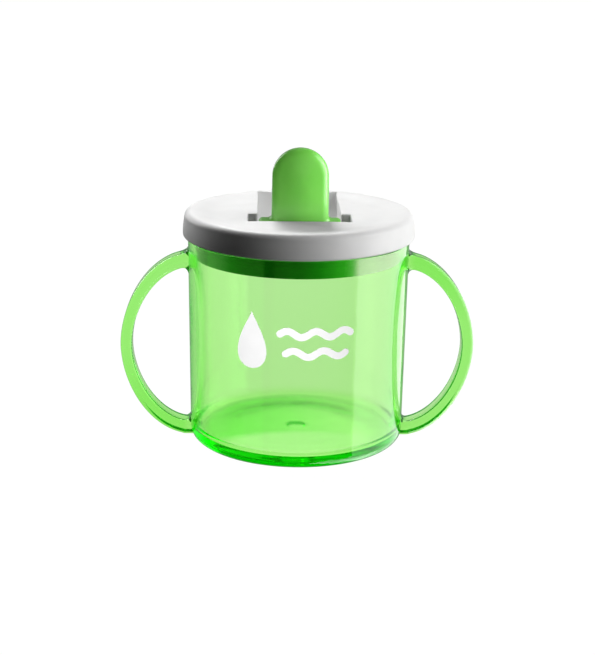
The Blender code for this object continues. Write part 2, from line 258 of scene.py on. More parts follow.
# x stations of the straight roots, in the order the handle runs
TOP_ROOT_X = (35.0, 35.9, 36.2, 36.5, 36.8, 37.1, 37.5)
LOW_ROOT_X = (37.5, 37.1, 36.8, 36.5, 36.2, 35.9, 35.5, 34.9, 34.3, 33.5)


def cup_radius(z):
    return CUP_FOOT_R + CUP_DRAFT * (z - CUP_CORNER)


def wall_at(z):
    """Outer radius of the cup, foot corner included."""
    if z >= CUP_CORNER:
        return cup_radius(z)
    rise = math.sqrt(max(CUP_CORNER ** 2 - (CUP_CORNER - z) ** 2, 0.0))
    return cup_radius(CUP_CORNER) - CUP_CORNER + rise


def cup_profile():
    """From the middle of the floor up the inside, over the rim and down to the underside."""
    corner_z = CUP_FLOOR_Z + CUP_FLOOR_CORNER
    corner_r = cup_radius(corner_z) - CUP_WALL - CUP_FLOOR_CORNER
    shoulder_r = cup_radius(CUP_SHOULDER_Z)
    mouth_r = shoulder_r - CUP_WALL
    rim_z = CUP_TOP_Z - CUP_RIM_ROUND
    pts = [(0.0, CUP_FLOOR_Z)]
    pts += between(pts[0], (corner_r, CUP_FLOOR_Z), 8)
    pts += arc(corner_r, corner_z, CUP_FLOOR_CORNER, -90, 0, 12)
    pts += between(pts[-1], (mouth_r, CUP_SHOULDER_Z), 22)
    pts += [(mouth_r, CUP_SHOULDER_Z), (mouth_r, CUP_NECK_MID_Z)]
    pts += arc(mouth_r + CUP_RIM_ROUND, rim_z, CUP_RIM_ROUND, 180, 90, 5)
    pts += arc(CUP_NECK_R - CUP_RIM_ROUND, rim_z, CUP_RIM_ROUND, 90, 0, 5)
    # neck, small fillet, rounded shoulder
    pts += [(CUP_NECK_R, CUP_NECK_MID_Z), (CUP_NECK_R, CUP_SHOULDER_Z + 0.35)]
    pts += arc(CUP_NECK_R + 0.25, CUP_SHOULDER_Z + 0.35, 0.25, 180, 270, 4)[1:]
    pts += arc(shoulder_r - 0.3, CUP_SHOULDER_Z - 0.2, 0.3, 90, 0, 5)
    # outer wall and foot
    foot_r = CUP_FOOT_R - CUP_CORNER
    pts += between(pts[-1], (CUP_FOOT_R, CUP_CORNER), 40)
    pts += arc(foot_r, CUP_CORNER, CUP_CORNER, 0, -90, 14)
    pts += between((foot_r, 0.0), (FOOT_RING_R, 0.0), 3)
    pts.append((FOOT_RING_R, 0.0))
    for i in range(1, 17):
        u = i / 16
        pts.append((FOOT_RING_R - FOOT_SLOPE * u, FOOT_RECESS * (3 * u * u - 2 * u * u * u)))
    pts += between(pts[-1], (DIMPLE[0][0], FOOT_RECESS), 7)
    pts += [(r, FOOT_RECESS + rise) for r, rise in DIMPLE]
    return pts


def handle_section():
    """Rounded rectangle: (side, shift from that side's face, depth, normal across, normal depth)."""
    edge = HANDLE_EDGE
    flat = HANDLE_WIDTH / 2 - edge
    out = []
    for side, end, start in ((1, 1, 0), (-1, 1, 90), (-1, -1, 180), (1, -1, 270)):
        for i in range(7):
            a = math.radians(start + 90.0 * i / 6)
            out.append((side, edge * math.cos(a) - side * edge,
                        end * flat + edge * math.sin(a), math.cos(a), math.sin(a)))
    return out


def handle_line(angle):
    """Point (x, z) on the handle's superellipse."""
    a = math.radians(angle)
    power = 2.0 / HANDLE_POWER
    c = max(math.cos(a), 0.0)
    s = math.sin(a)
    return Vector((HANDLE_X0 + HANDLE_REACH * c ** power,
                   HANDLE_MID_Z + HANDLE_HALF_HEIGHT * math.copysign(abs(s) ** power, s)))


def handle(side):
    """Handle on the +X (side 1) or -X (side -1) side, from its upper root to its lower one."""
    bow = [handle_line(90.0 - 180.0 * i / HANDLE_STEPS) for i in range(HANDLE_STEPS + 1)]
    top_z = handle_line(90.0).y
    low_z = handle_line(-90.0).y
    line = [Vector((x, top_z)) for x in TOP_ROOT_X]
    line += [p for p in bow if p.x > HANDLE_START_X]
    line += [Vector((x, low_z)) for x in LOW_ROOT_X]
    last = len(line) - 1
    section = handle_section()
    rings = []
    for i, p in enumerate(line):
        if i < 3:
            tangent = Vector((1.0, 0.0))
        elif i > last - 3:
            tangent = Vector((-1.0, 0.0))
        else:
            tangent = (line[i + 1] - line[i - 1]).normalized()
        normal = Vector((-tangent.y, tangent.x))
        swell = unit(abs(p.y - HANDLE_MID_Z) / HANDLE_HALF_HEIGHT) ** 2.5
        half = (HANDLE_THICK + HANDLE_SWELL * swell) / 2
        ring = []
        for face, shift, depth, normal_across, _ in section:
            q = p + normal * (face * half + shift)
            radius = wall_at(max(q.y, 0.3))
            wall_x = math.sqrt(radius * radius - depth * depth)
            grow = flare(q.x - wall_x, HANDLE_ROOT)
            # the underside of the lower root has no fillet
            if not (normal.y * normal_across < -0.05 and p.y < HANDLE_MID_Z):
                q = q + normal * (normal_across * grow)
            if i == last:
                q.x = 32.7 + 0.3 * q.y      # slanted end inside the cup wall
            ring.append((side * q.x, depth, q.y))
        rings.append(ring)
    return loft(rings)


def build_cup():
    obj = link("cup_shell", turned(cup_profile(), BODY_SEGMENTS))
    cut(obj, [("UNION", handle(1)), ("UNION", handle(-1))])
    tidy(obj, 38)
    return obj


cup = build_cup()


# --------------------------------------------------- fits shared by lid and spout
PIN_R = 2.0
PIN_END = 17.6               # half length of the hinge pin
BARREL_R = 5.0
CHANNEL_HALF = 5.0           # drinking channel up through the spout
CHANNEL_Y = (-12.3, -9.7)
CHANNEL_TOP_Z = 95.0
VENT_R = 0.7
HINGE_LINE = Matrix.Translation((0.0, AXIS_Y * MM, AXIS_Z * MM)) \
    @ Matrix.Rotation(math.pi / 2, 4, "Y")
VENT_LINE = tilted(10.9, AXIS_Y, AXIS_Z, 35.0)


# ------------------------------------------------------------------------- lid
LID_SKIRT_R = 38.0
LID_SHOULDER_R = 37.5
LID_SHOULDER = 2.1           # rounding at the outer top edge
LID_CREST_R = 35.0
LID_CREST_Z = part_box("lid")[1][2] / MM
LID_MID_Z = 76.6
LID_FLAT_R = 19.0            # flat middle, then a shallow ring-shaped valley
LID_VALLEY_R = 27.5
LID_VALLEY_Z = 76.25
LID_TOP_RADII = (0.0, 4, 8, 12, 16, 19, 20.5, 22, 23.5, 25, 26.25, 27.5, 28.5, 29.5, 30.5,
                 31.5, 32.5, 33.5, 34.3, 35.0)
SKIRT_Z = 68.9
SKIRT_IN_R = 36.25
SKIRT_EDGE = 0.8
SKIRT_IN_EDGE = 0.35
GROOVE_Z = 75.0              # top of the groove that takes the cup's rim
GROOVE_CORNER = 0.4
PLATE_Z = 74.9               # underside of the top plate
PLATE_CORNER = 0.8
PLUG_R = 33.60
PLUG_IN_R = 32.1
PLUG_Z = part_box("lid")[0][2] / MM
PLUG_EDGE = 0.5
PLUG_IN_EDGE = 0.4
BEAD_HEIGHT = 0.22
BEAD_HALF = 0.7
BEAD_Z = (69.2, 66.0)

SHELL = 1.3                  # wall round the recess and the pockets
SEAT_R = BARREL_R + 0.35     # cradle under the barrel
RECESS_HALF = 13.6
RECESS_FLOOR_Z = 68.2
RECESS_BEND = 3.4            # rounding between the floor and the ramp
RAMP_Y0 = 19.8
RAMP_Y1 = 30.8
RAMP_Z1 = 76.85
RAMP_RISE = (RAMP_Z1 - RECESS_FLOOR_Z) / (RAMP_Y1 - RAMP_Y0)
POCKET_HALF = 16.6           # pockets beside the barrel's ends
POCKET_Y = (-14.85, -3.7)
POCKET_FLOOR_Z = 67.9
CHEEK_HALF = 19.3
BORE_R = PIN_R + 0.30
BORE_END = 17.9
OPENING_END_Y = RAMP_Y1 + 5.2
OPENING_ROUND = 0.55         # rounding of the opening's upper edge
PORT_MARGIN = 0.2            # ports in the lid are this much larger than the spout's


def ease(a, b, u):
    return a + (b - a) * (0.5 - 0.5 * math.cos(math.pi * unit(u)))


def lid_top(r):
    if r <= LID_VALLEY_R:
        return ease(LID_MID_Z, LID_VALLEY_Z, (r - LID_FLAT_R) / (LID_VALLEY_R - LID_FLAT_R))
    return ease(LID_VALLEY_Z, LID_CREST_Z, (r - LID_VALLEY_R) / (LID_CREST_R - LID_VALLEY_R))


def lid_profile():
    """From the middle of the top, down the skirt, round the groove and plug to the plate."""
    pts = [(r, lid_top(r)) for r in LID_TOP_RADII]
    shoulder_z = LID_CREST_Z - LID_SHOULDER
    pts += arc(LID_SHOULDER_R - LID_SHOULDER, shoulder_z, LID_SHOULDER, 88, 4, 12)
    for i in range(1, 12):
        u = i / 12
        bulge = math.sin(math.pi / 2 * min(u * 1.15, 1.0))
        pts.append((LID_SHOULDER_R + (LID_SKIRT_R - LID_SHOULDER_R) * bulge,
                    shoulder_z - u * (shoulder_z - SKIRT_Z - SKIRT_EDGE)))
    pts += arc(LID_SKIRT_R - SKIRT_EDGE, SKIRT_Z + SKIRT_EDGE, SKIRT_EDGE, 0, -90, 7)
    pts += arc(SKIRT_IN_R + SKIRT_IN_EDGE, SKIRT_Z + SKIRT_IN_EDGE, SKIRT_IN_EDGE, -90, -180, 4)
    pts += [(SKIRT_IN_R, 71.0), (SKIRT_IN_R, 73.0)]
    groove_z = GROOVE_Z - GROOVE_CORNER
    pts += arc(SKIRT_IN_R - GROOVE_CORNER, groove_z, GROOVE_CORNER, 0, 90, 3)
    pts += arc(PLUG_R + GROOVE_CORNER, groove_z, GROOVE_CORNER, 90, 180, 3)
    for z in BEAD_Z:
        for i in range(7):
            u = -1 + i / 3
            swell = 0.5 + 0.5 * math.cos(math.pi * u)
            pts.append((PLUG_R + BEAD_HEIGHT * swell, z - BEAD_HALF * u))
    pts += [(PLUG_R, 64.2)]
    pts += arc(PLUG_R - PLUG_EDGE, PLUG_Z + PLUG_EDGE, PLUG_EDGE, 0, -90, 5)
    pts += arc(PLUG_IN_R + PLUG_IN_EDGE, PLUG_Z + PLUG_IN_EDGE, PLUG_IN_EDGE, -90, -180, 5)
    pts += [(PLUG_IN_R, 66.0), (PLUG_IN_R, 70.0)]
    pts += arc(PLUG_IN_R - PLATE_CORNER, PLATE_Z - PLATE_CORNER, PLATE_CORNER, 0, 90, 5)
    pts += [(r, PLATE_Z) for r in (24.0, 12.0, 0.0)]
    return pts


def recess_outline(offset, top, steps):
    """Side view (y, z) of the spout's recess: cradle, floor and ramp, grown by offset."""
    radius = SEAT_R + offset
    floor = RECESS_FLOOR_Z - offset
    cradle_end = math.degrees(math.asin((AXIS_Z - floor) / radius))
    pts = [(AXIS_Y - radius, top), (AXIS_Y - radius, AXIS_Z)]
    pts += arc(AXIS_Y, AXIS_Z, radius, 180, 360 - cradle_end, steps)[1:]
    slope = math.atan2(RAMP_Z1 - RECESS_FLOOR_Z, RAMP_Y1 - RAMP_Y0)
    corner = RAMP_Y0 + offset * math.tan(slope / 2)
    bend = RECESS_BEND / math.tan((math.pi - slope) / 2)
    for i in range(7):
        a = slope * i / 6
        pts.append((corner - bend + RECESS_BEND * math.sin(a),
                    floor + RECESS_BEND * (1 - math.cos(a))))
    if offset == 0.0:
        pts += [(RAMP_Y1, RAMP_Z1), (RAMP_Y1 + (top - RAMP_Z1) / math.tan(slope), top)]
    else:
        pts.append((corner + (top - floor) / math.tan(slope), top))
    return pts


def opening(offset):
    """Plan of the hole in the lid's top, grown by offset, with rounded corners."""
    a = RECESS_HALF
    b = POCKET_HALF
    y0, y1 = POCKET_Y
    y2 = OPENING_END_Y
    # corner x, y, radius, side of its centre in x and y, first angle, turn (-90: inner corner)
    corners = (
        (b, y0, 0.5, -1, 1, -90, 90), (b, y1, 0.5, -1, -1, 0, 90),
        (a, y1, 0.75, 1, 1, 270, -90), (a, y2, 0.8, -1, -1, 0, 90),
        (-a, y2, 0.8, 1, -1, 90, 90), (-a, y1, 0.75, -1, 1, 0, -90),
        (-b, y1, 0.5, 1, -1, 90, 90), (-b, y0, 0.5, 1, 1, 180, 90),
    )
    out = []
    for x, y, r, side_x, side_y, first, turn in corners:
        out += arc(x + side_x * r, y + side_y * r, r + math.copysign(offset, turn),
                   first, first + turn, 5)
    return out


def opening_tool():
    """The hole through the top plate, its upper edge rounded over, kept above the ramp."""
    r = OPENING_ROUND
    rings = [[(x, y, z) for x, y in opening(0.0)] for z in (73.9, LID_MID_Z - 0.05 - r)]
    for i in range(1, 7):
        a = math.radians(90.0 * i / 6)
        rings.append([(x, y, lid_top(math.hypot(x, y)) - 0.02 - r + r * math.sin(a))
                      for x, y in opening(r - r * math.cos(a))])
    rings.append([(x, y, ABOVE_Z) for x, y in opening(r + 0.02)])
    tool = link("opening_tool", loft(rings))
    far_y = 45.0
    under_ramp = [(RAMP_Y0, BELOW_Z), (far_y, BELOW_Z),
                  (far_y, RECESS_FLOOR_Z + RAMP_RISE * (far_y - RAMP_Y0)),
                  (RAMP_Y0, RECESS_FLOOR_Z)]
    cut(tool, [("DIFFERENCE", prism_x(under_ramp, -25.0, 25.0))])
    bm = bmesh.new()
    bm.from_mesh(tool.data)
    discard(tool)
    return bm


def build_lid():
    obj = link("lid_shell", turned(lid_profile(), BODY_SEGMENTS))
    shell_top = PLATE_Z + 0.5
    shell_half = RECESS_HALF + SHELL
    port_half = CHANNEL_HALF + PORT_MARGIN
    cut(obj, [
        # shells that hang under the plate
        ("UNION", prism_x(recess_outline(SHELL, shell_top, 14), -shell_half, shell_half)),
        ("UNION", box((-CHEEK_HALF, POCKET_Y[0] - SHELL, POCKET_FLOOR_Z - SHELL),
                      (CHEEK_HALF, POCKET_Y[1] + SHELL, shell_top))),
        # hollows for the spout and its pin
        ("DIFFERENCE", opening_tool()),
        ("DIFFERENCE", prism_x(recess_outline(0.0, ABOVE_Z, 20), -RECESS_HALF, RECESS_HALF)),
        ("DIFFERENCE", box((-POCKET_HALF, POCKET_Y[0], POCKET_FLOOR_Z),
                           (POCKET_HALF, POCKET_Y[1], 75.5))),
        ("DIFFERENCE", rod(BORE_R, 2 * BORE_END, HINGE_LINE, 40)),
        # ports in line with the spout's channel and vent
        ("DIFFERENCE", box((-port_half, CHANNEL_Y[0] - PORT_MARGIN, BELOW_Z),
                           (port_half, CHANNEL_Y[1] + PORT_MARGIN, 70.0))),
        ("DIFFERENCE", rod(VENT_R + PORT_MARGIN, 8.0, VENT_LINE @ along_z(-7.0), 20)),
    ])
    tidy(obj, 35)
    return obj


lid = build_lid()


# ----------------------------------------------------------------------- spout
BARREL_HALF = 13.2
BARREL_EDGE = 1.3
BLADE_HALF_TOP = 9.0
BLADE_HALF_BASE = 9.2
BLADE_TOP_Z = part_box("spout")[1][2] / MM
BLADE_ROUND_Z = BLADE_TOP_Z - BLADE_HALF_TOP     # centre of the half-round top
BLADE_FRONT_Y = AXIS_Y - 4.9
BLADE_BASE_T = 8.0           # thickness at the hinge line and at the tip
BLADE_TIP_T = 6.4
BLADE_FLANK_Z = (AXIS_Z - 0.6, 72.4, 73.6, 74.4, 74.9, 75.3, 75.7, 76.1, 76.5, 76.9, 77.3,
                 77.8, 78.6, 80.0, 82.0, 84.5, 87.0, 89.0)
# insets of the rings on the front and back faces, and the edge rounding across and in depth
FRONT_INSETS = (9.8, 8.4, 7.2, 6.2, 5.4, 4.6, 3.8)
FRONT_EDGE = (3.0, 1.75)
FRONT_CROWN = 0.95           # how far the front is domed
BACK_INSETS = (4.0, 5.6, 7.4, 9.8)
BACK_EDGE = (2.6, 2.2)
BLADE_FILLET = 1.1
OUTLET_R = 0.85
OUTLET_LENGTH = 10.0
OUTLET_X = (-3.4, 0.0, 3.4)
OUTLET_TILT = 25.0


def blade_thickness(z):
    u = unit((z - AXIS_Z) / (BLADE_TOP_Z - AXIS_Z))
    return BLADE_BASE_T + (BLADE_TIP_T - BLADE_BASE_T) * u


def blade_ring(inset, y_at):
    """Open outline of the blade, shrunk by inset, with y given by a function of z."""
    flank = []
    for z in BLADE_FLANK_Z:
        u = (z - AXIS_Z) / (BLADE_ROUND_Z - AXIS_Z)
        half = BLADE_HALF_BASE + (BLADE_HALF_TOP - BLADE_HALF_BASE) * u
        flank.append((max(half - inset, 0.0), z))
    outline = flank + arc(0.0, BLADE_ROUND_Z, max(BLADE_HALF_TOP - inset, 0.0), 0, 180, 40)
    outline += [(-x, z) for x, z in reversed(flank)]
    return [[x, y_at(z), z] for x, z in outline]


def blade_rings():
    """Rings from the middle of the front face, round the edge, to the middle of the back."""
    across, depth = FRONT_EDGE
    back_across, back_depth = BACK_EDGE
    dome_half = BLADE_HALF_BASE - across
    slope = 2 * FRONT_CROWN / dome_half
    rings = []
    for inset in FRONT_INSETS:
        dome = FRONT_CROWN * ((BLADE_HALF_BASE - inset) / dome_half) ** 2
        rings.append(blade_ring(inset, lambda z: BLADE_FRONT_Y + dome))
    for i in range(11):
        t = math.radians(90.0 * i / 10)
        inset = across * (1 - math.sin(t))
        y = BLADE_FRONT_Y + FRONT_CROWN + slope * (across - inset) * 0.6 \
            + depth * (1 - math.cos(t))
        rings.append(blade_ring(inset, lambda z: y))
    edge = FRONT_CROWN + slope * across * 0.6
    rings.append(blade_ring(0.0, lambda z: BLADE_FRONT_Y
                            + 0.5 * (edge + depth + blade_thickness(z) - back_depth)))
    for i in range(9):
        t = math.radians(90.0 * i / 8)
        rings.append(blade_ring(
            back_across * (1 - math.cos(t)),
            lambda z: BLADE_FRONT_Y + blade_thickness(z) - back_depth * (1 - math.sin(t))))
    for inset in BACK_INSETS:
        rings.append(blade_ring(inset, lambda z: BLADE_FRONT_Y + blade_thickness(z) + 0.001))
    return rings


def add_blade_fillet(point):
    """Move a point out where the flanks and the back run into the barrel."""
    x, y, z = point
    dy = y - AXIS_Y
    if abs(dy) >= BARREL_R:
        return
    height = z - (AXIS_Z + math.sqrt(BARREL_R ** 2 - dy * dy))
    if height >= BLADE_FILLET:
        return
    grow = flare(height, BLADE_FILLET)
    side = unit((abs(x) - 5.0) / 4.0)
    back = unit((dy - 1.0) / 2.0)
    off_front = unit((dy + 4.6) / 1.2)
    point[0] += math.copysign(grow * side * off_front, x)
    point[1] = max(min(y + grow * back, AXIS_Y + 3.1), y)


def blade():
    """Flat blade with a half-round top, a faintly crowned front and rounded edges."""
    rings = blade_rings()
    for ring in rings:
        for point in ring:
            add_blade_fillet(point)
    bm = bmesh.new()
    rows = [[bm.verts.new(Vector(p) * MM) for p in ring] for ring in rings]
    for a, b in zip(rows, rows[1:]):
        for k in range(len(a) - 1):
            bm.faces.new((a[k], a[k + 1], b[k + 1], b[k]))
    bm.faces.new([row[0] for row in rows] + [row[-1] for row in reversed(rows)])
    bmesh.ops.remove_doubles(bm, verts=bm.verts[:], dist=1e-6)
    bmesh.ops.dissolve_degenerate(bm, edges=bm.edges[:], dist=1e-7)
    return bm


def barrel():
    edge_r = BARREL_R - BARREL_EDGE
    edge_z = BARREL_HALF - BARREL_EDGE
    profile = [(0.0, -BARREL_HALF)]
    profile += [(r, -z) for r, z in arc(edge_r, edge_z, BARREL_EDGE, 90, 0, 8)]
    profile += [(BARREL_R, z) for z in (-8.0, -4.0, 0.0, 4.0, 8.0)]
    profile += arc(edge_r, edge_z, BARREL_EDGE, 0, 90, 8)
    profile.append((0.0, BARREL_HALF))
    bm = turned(profile, 80)
    bmesh.ops.transform(bm, matrix=HINGE_LINE, verts=bm.verts[:])
    return bm


def outlet(x):
    """Small hole from the top of the channel out through the tip."""
    start = tilted(x, (CHANNEL_Y[0] + CHANNEL_Y[1]) / 2, CHANNEL_TOP_Z - 1.0, OUTLET_TILT)
    return rod(OUTLET_R, OUTLET_LENGTH, start @ along_z(OUTLET_LENGTH / 2), 24)


def build_spout():
    obj = link("spout_shell", barrel())
    steps = [
        ("UNION", blade()),
        ("UNION", rod(PIN_R, 2 * PIN_END, HINGE_LINE, 40)),
        ("DIFFERENCE", box((-CHANNEL_HALF, CHANNEL_Y[0], BELOW_Z),
                           (CHANNEL_HALF, CHANNEL_Y[1], CHANNEL_TOP_Z))),
    ]
    steps += [("DIFFERENCE", outlet(x)) for x in OUTLET_X]
    steps.append(("DIFFERENCE", rod(VENT_R, 14.0, VENT_LINE, 20)))
    for step in steps:
        cut(obj, [step])
        weld(obj)
    tidy(obj, 40)
    return obj


spout = build_spout()


# --------------------------------------------------------------- printed motif
INK_LIFT = 0.02              # gap between the cup and the ink
INK_THICK = 0.07
INK_STEP = 1.2               # width of the strips that follow the curve
WAVE_HALF = 1.15             # half the width of a wave line


def wrap(name, outlines):
    """Lay flat (u, z) outlines on the front of the cup as thin closed ink."""
    bm = bmesh.new()
    for outline in outlines:
        bm.faces.new([bm.verts.new((u, 0.0, z)) for u, z in outline])
    bmesh.ops.triangulate(bm, faces=bm.faces[:])
    lo = min(v.co.x for v in bm.verts)
    hi = max(v.co.x for v in bm.verts)
    x = math.floor(lo / INK_STEP) * INK_STEP
    while x < hi:
        bmesh.ops.bisect_plane(bm, geom=bm.verts[:] + bm.edges[:] + bm.faces[:], dist=1e-5,
                               plane_co=(x, 0, 0), plane_no=(1, 0, 0))
        x += INK_STEP
    bmesh.ops.recalc_face_normals(bm, faces=bm.faces[:])
    flat = bm.faces[:]
    if flat and flat[0].normal.y > 0:
        bmesh.ops.reverse_faces(bm, faces=flat)
    # close the sheet with a back and a rim
    rim = [e for e in bm.edges if len(e.link_faces) == 1]
    back = {v: bm.verts.new(v.co) for v in bm.verts[:]}
    for face in flat:
        bm.faces.new([back[v] for v in reversed(face.verts)])
    for edge in rim:
        corner = next(c for c in edge.link_faces[0].loops if c.edge == edge)
        v0 = corner.vert
        v1 = corner.link_loop_next.vert
        bm.faces.new((v1, v0, back[v0], back[v1]))
    inner = set(back.values())
    for v in bm.verts:
        u = v.co.x
        z = v.co.z
        r = cup_radius(z) + INK_LIFT + (0.0 if v in inner else INK_THICK)
        a = u / cup_radius(z)
        v.co = Vector((r * math.sin(a), -r * math.cos(a), z)) * MM
    obj = link(name, bm)
    shade(obj, 50)
    return obj


def drop_outline(u, z, height):
    """A water drop: round below, pointed above."""
    out = []
    for i in range(64):
        t = 2 * math.pi * i / 64
        x = 0.5 * height * 0.74 * math.sin(t) * math.sin(t / 2) ** 1.35
        out.append((u + x, z + 0.5 * height * math.cos(t)))
    return out


def direction(a, b):
    return Vector((b[0] - a[0], b[1] - a[1])).normalized()


def round_end(p, heading, half):
    angles = [heading + math.pi / 2 - math.pi * i / 10 for i in range(1, 10)]
    return [(p[0] + half * math.cos(a), p[1] + half * math.sin(a)) for a in angles]


def ribbon(points, half):
    """A line of constant width with round ends."""
    left = []
    right = []
    last = len(points) - 1
    for i, p in enumerate(points):
        t = direction(points[max(i - 1, 0)], points[min(i + 1, last)])
        left.append((p[0] - t.y * half, p[1] + t.x * half))
        right.append((p[0] + t.y * half, p[1] - t.x * half))
    first = direction(points[0], points[1])
    final = direction(points[-2], points[-1])
    return left + round_end(points[-1], math.atan2(final.y, final.x), half) \
        + right[::-1] + round_end(points[0], math.atan2(first.y, first.x) + math.pi, half)


def wave(u0, u1, z, height, periods):
    return [(u0 + (u1 - u0) * i / 60, z + height * math.sin(2 * math.pi * periods * i / 60))
            for i in range(61)]


drop = wrap("print_drop", [drop_outline(u=-15.6, z=42.6, height=18.5)])
waves = wrap("print_waves", [
    ribbon(wave(u0=-6.4, u1=16.2, z=45.3, height=1.0, periods=2.5), WAVE_HALF),
    ribbon(wave(u0=-4.6, u1=14.6, z=38.9, height=1.0, periods=2.0), WAVE_HALF),
])


# -------------------------------------------------------------- shader helpers
class Graph:
    """Adds nodes to one node tree. Inputs may be plain values or sockets to link."""

    def __init__(self, tree):
        self.tree = tree

    def feed(self, target, inputs):
        for key, value in inputs.items():
            socket = target.inputs[key]
            if isinstance(value, bpy.types.NodeSocket):
                self.tree.links.new(value, socket)
            elif socket.type == "RGBA":
                socket.default_value = (*value, 1.0)
            else:
                socket.default_value = value

    def node(self, kind, inputs=None, **settings):
        made = self.tree.nodes.new(kind)
        for key, value in settings.items():
            setattr(made, key, value)
        self.feed(made, inputs or {})
        return made

    def coords(self):
        return self.node("ShaderNodeTexCoord").outputs["Object"]

    def split(self, vector):
        return self.node("ShaderNodeSeparateXYZ", {0: vector}).outputs

    def ray(self, name):
        return self.node("ShaderNodeLightPath").outputs[name]

    def noise(self, coords, scale, detail=2.0, rough=0.5, distortion=0.0):
        return self.node("ShaderNodeTexNoise", {
            "Scale": scale, "Detail": detail, "Roughness": rough, "Distortion": distortion,
            "Vector": coords}).outputs["Fac"]

    def remap(self, value, source=(0.0, 1.0), target=(0.0, 1.0), curve="LINEAR"):
        return self.node("ShaderNodeMapRange", {
            "From Min": source[0], "From Max": source[1], "To Min": target[0],
            "To Max": target[1], "Value": value}, interpolation_type=curve).outputs["Result"]

    def mix_colour(self, factor, a, b):
        return self.node("ShaderNodeMix", {0: factor, 6: a, 7: b}, data_type="RGBA").outputs[2]

    def mix_value(self, factor, a, b):
        return self.node("ShaderNodeMix", {0: factor, 2: a, 3: b}, data_type="FLOAT").outputs[0]

    def mix_shader(self, factor, a, b):
        return self.node("ShaderNodeMixShader", {0: factor, 1: a, 2: b}).outputs[0]

    def math(self, operation, *values, clamp=False):
        return self.node("ShaderNodeMath", dict(enumerate(values)),
                         operation=operation, use_clamp=clamp).outputs[0]

    def bump(self, height, strength, distance, normal=None):
        inputs = {"Strength": strength, "Distance": distance, "Height": height}
        if normal is not None:
            inputs["Normal"] = normal
        return self.node("ShaderNodeBump", inputs).outputs["Normal"]

    def ramp(self, factor, stops):
        """Colour ramp from (position, colour) stops."""
        made = self.node("ShaderNodeValToRGB", {0: factor})
        elements = made.color_ramp.elements
        while len(elements) < len(stops):
            elements.new(0.5)
        for element, (position, colour) in zip(elements, stops):
            element.position = position
            element.color = (*colour, 1.0)
        return made.outputs[0]


def new_material(name):
    mat = bpy.data.materials.new(name)
    mat.use_nodes = True
    nodes = mat.node_tree.nodes
    return mat, Graph(mat.node_tree), nodes["Principled BSDF"], nodes["Material Output"]


# ------------------------------------------------------------------- materials
PLASTIC_IOR = 1.49
ABSORB_COLOUR = (0.42, 0.985, 0.05)
ABSORB_DENSITY = 205.0
# cup body colours: painted shade, a deeper green low down, paler up high
BODY_LOW_SHADE = (0.95, 0.985, 0.915)          # cup body, bottom to top
BODY_HIGH_LIT = (0.985, 1.0, 0.97)
ARM_PAINTED_SHADE = (0.77, 0.975, 0.68)           # handles
ARM_PAINTED_LIT = (0.97, 1.0, 0.96)
RIM_GREEN = (0.34, 0.90, 0.26)
PLUG_PAINTED_SHADE = (0.04, 0.40, 0.03)
BOUNCE_GREY = (0.14, 0.15, 0.13)

# painted glow (painted light) on the plug seen through the cup, faint green across most of it and
# pale on the right: x in mm, colour
GLOW_HALF = 33.0
PLUG_PAINTED_GLOW = (
    (-30.0, (0.0, 0.11, 0.0)), (-25.0, (0.0, 0.08, 0.0)), (-18.0, (0.0, 0.03, 0.0)),
    (-8.0, (0.0, 0.01, 0.0)), (0.0, (0.0, 0.03, 0.0)), (6.0, (0.0, 0.09, 0.0)),
    (14.0, (0.02, 0.24, 0.01)), (15.6, (0.03, 0.28, 0.02)), (17.8, (0.36, 0.40, 0.33)),
    (22.0, (0.44, 0.44, 0.42)), (30.0, (0.34, 0.26, 0.36)),
)


def clear_green():
    mat, g, bsdf, out = new_material("clear_green_plastic")
    co = g.coords()
    x, _, z = g.split(co)
    flow = g.noise(co, scale=55.0, detail=2.0, rough=0.45, distortion=0.6)
    # painted shade: the body is a deeper green towards the bottom, mixed with random clouds in the
    # plastic
    height = g.remap(z, source=(0.004, 0.062))
    painted_height_shade_and_cloud = g.math("ADD", height, g.remap(flow, source=(0.35, 0.65), target=(-0.06, 0.06)),
                    clamp=True)
    body = g.mix_colour(painted_height_shade_and_cloud, BODY_LOW_SHADE, BODY_HIGH_LIT)
    # painted shade: each handle is deeper in colour towards one root, the lower left and the upper
    # right
    right = g.remap(x, source=(-0.001, 0.001))
    up = g.remap(z, source=(0.012, 0.029))
    down = g.remap(z, source=(0.040, 0.054), target=(1.0, 0.0))
    arm = g.mix_colour(g.mix_value(right, up, down), ARM_PAINTED_SHADE, ARM_PAINTED_LIT)
    on_arm = g.remap(g.math("ABSOLUTE", x), source=(0.0362, 0.0385))
    whole = g.mix_colour(on_arm, body, arm)
    # the way through the wall is long at its sides: a fuller green there
    facing = g.node("ShaderNodeLayerWeight", {"Blend": 0.5}).outputs["Facing"]
    rim = g.math("MULTIPLY", g.remap(facing, source=(0.48, 0.92)),
                 g.remap(on_arm, target=(1.0, 0.0)))
    g.feed(bsdf, {
        "Transmission Weight": 1.0,
        "IOR": PLASTIC_IOR,
        "Base Color": g.mix_colour(rim, whole, RIM_GREEN),
        "Roughness": g.remap(g.noise(co, scale=900.0, detail=3.0),
                             source=(0.35, 0.7), target=(0.055, 0.085)),
        "Normal": g.bump(g.noise(co, scale=70.0, detail=1.0, rough=0.4),
                         strength=0.035, distance=0.004),
    })
    volume = g.node("ShaderNodeVolumeAbsorption",
                    {"Color": ABSORB_COLOUR, "Density": ABSORB_DENSITY})
    g.feed(out, {"Volume": volume.outputs["Volume"]})
    return mat


